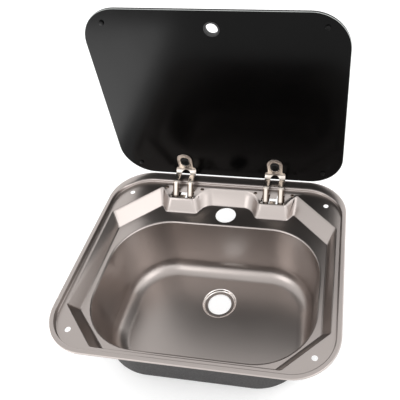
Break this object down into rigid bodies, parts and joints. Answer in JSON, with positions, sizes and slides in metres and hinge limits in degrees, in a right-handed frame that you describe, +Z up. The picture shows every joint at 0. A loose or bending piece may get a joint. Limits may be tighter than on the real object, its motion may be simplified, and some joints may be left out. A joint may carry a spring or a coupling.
{
  "type": "rv sink with glass lid",
  "caption": "Drop-in stainless camper sink: deep bowl, raised rim, tap and waste holes, and a black glass lid that folds flat on sprung fork hinges.",
  "frame": {"origin": "middle of the rim, on the worktop's top surface", "axes": "+X to the right along the front edge, +Y to the rear where the hinges are, +Z up"},
  "size_m": [0.42, 0.376, 0.4766],
  "materials": {
    "sink_steel": "satin",
    "hinge_steel": "bright",
    "fixing_steel": "bright",
    "black_glass": "gloss",
    "black_nylon": "satin",
    "black_screw": "satin",
    "black_rubber": "matte",
    "seal_foam": "matte"
  },
  "bodies": {
    "sink": {"sink_pressing": "sink_steel", "rim_seal": "seal_foam", "hinge_screws": "fixing_steel", "hinge_nuts": "fixing_steel", "hinge_bracket_left": "hinge_steel", "hinge_bracket_right": "hinge_steel", "hinge_pin_left": "fixing_steel", "hinge_pin_right": "fixing_steel", "pin_nut_left": "fixing_steel", "pin_nut_right": "fixing_steel", "pin_spacer_left": "fixing_steel", "pin_spacer_right": "fixing_steel", "pin_washers_left": "fixing_steel", "pin_washers_right": "fixing_steel"},
    "lid": {"glass_lid": "black_glass", "finger_grommet": "black_rubber", "lid_buffers": "black_rubber", "hinge_leaf_left": "hinge_steel", "hinge_leaf_right": "hinge_steel", "leaf_pad_left": "black_rubber", "leaf_pad_right": "black_rubber", "leaf_bush_left": "black_nylon", "leaf_bush_right": "black_nylon", "leaf_screw_left": "black_screw", "leaf_screw_right": "black_screw", "cap_gasket_left": "black_rubber", "cap_gasket_right": "black_rubber", "leaf_cap_left": "black_nylon", "leaf_cap_right": "black_nylon"}
  },
  "joints": [
    {"name": "lid_hinge", "type": "hinge", "parent": "sink", "child": "lid", "pos_m": [0, 0.1722, -0.0148], "axis": [1, 0, 0], "range_deg": [0, 86.9]}
  ]
}
